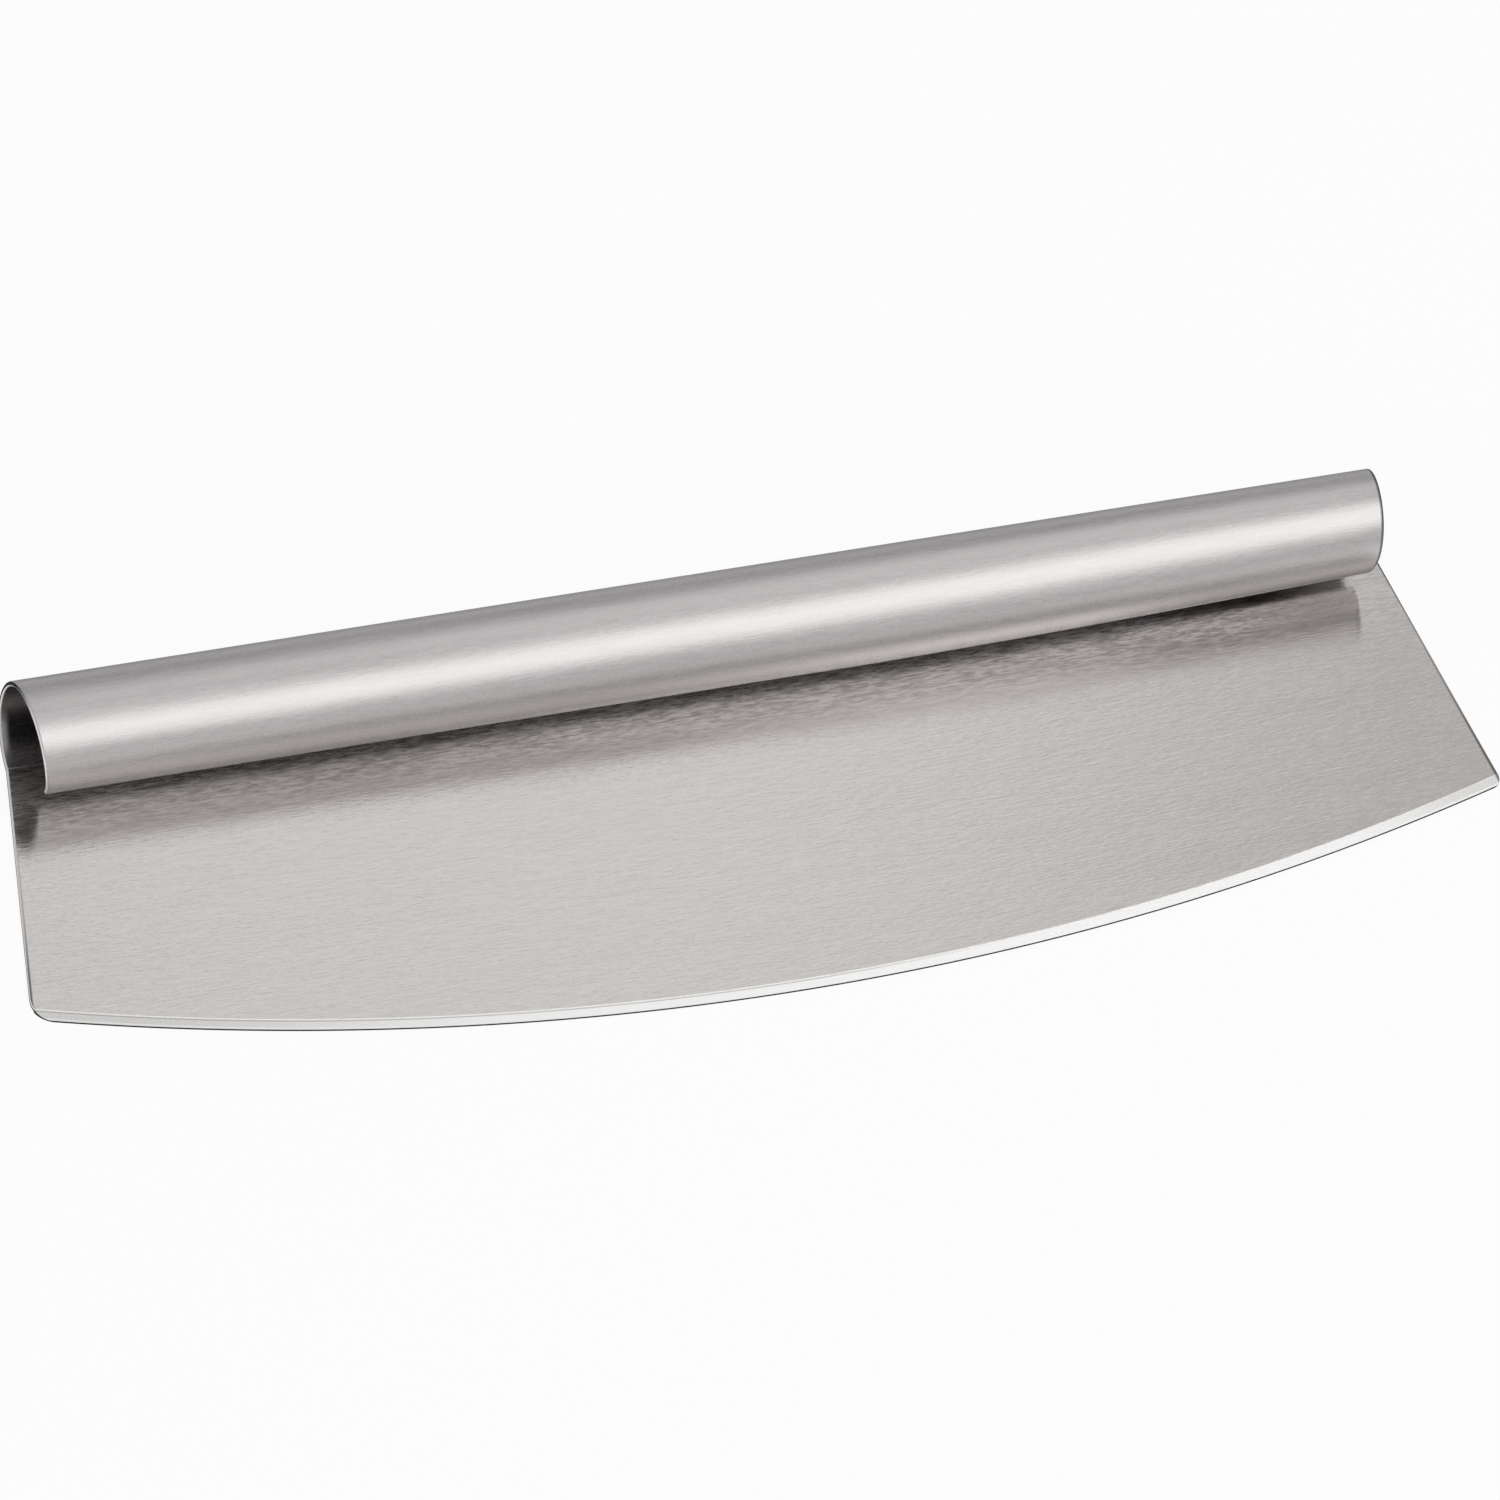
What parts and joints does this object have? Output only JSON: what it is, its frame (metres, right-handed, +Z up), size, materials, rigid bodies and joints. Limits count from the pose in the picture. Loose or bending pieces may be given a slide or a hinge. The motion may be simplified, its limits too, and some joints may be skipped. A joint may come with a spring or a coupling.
{
  "type": "pizza cutter",
  "caption": "Rocking pizza cutter of one brushed steel sheet: flat blade with a convex ground edge, upper edge rolled into an open-ended tube handle.",
  "frame": {"origin": "middle of the footprint of the cutter lying on the back of its blade", "axes": "+X along the handle, +Y from the cutting edge to the handle, +Z up from the blade's back to its front"},
  "size_m": [0.3489, 0.1038, 0.0265],
  "materials": {
    "blade_steel": "brushed along the handle",
    "handle_steel": "brushed along the handle"
  },
  "bodies": {
    "root": {"blade": "blade_steel", "handle": "handle_steel"}
  },
  "joints": []
}
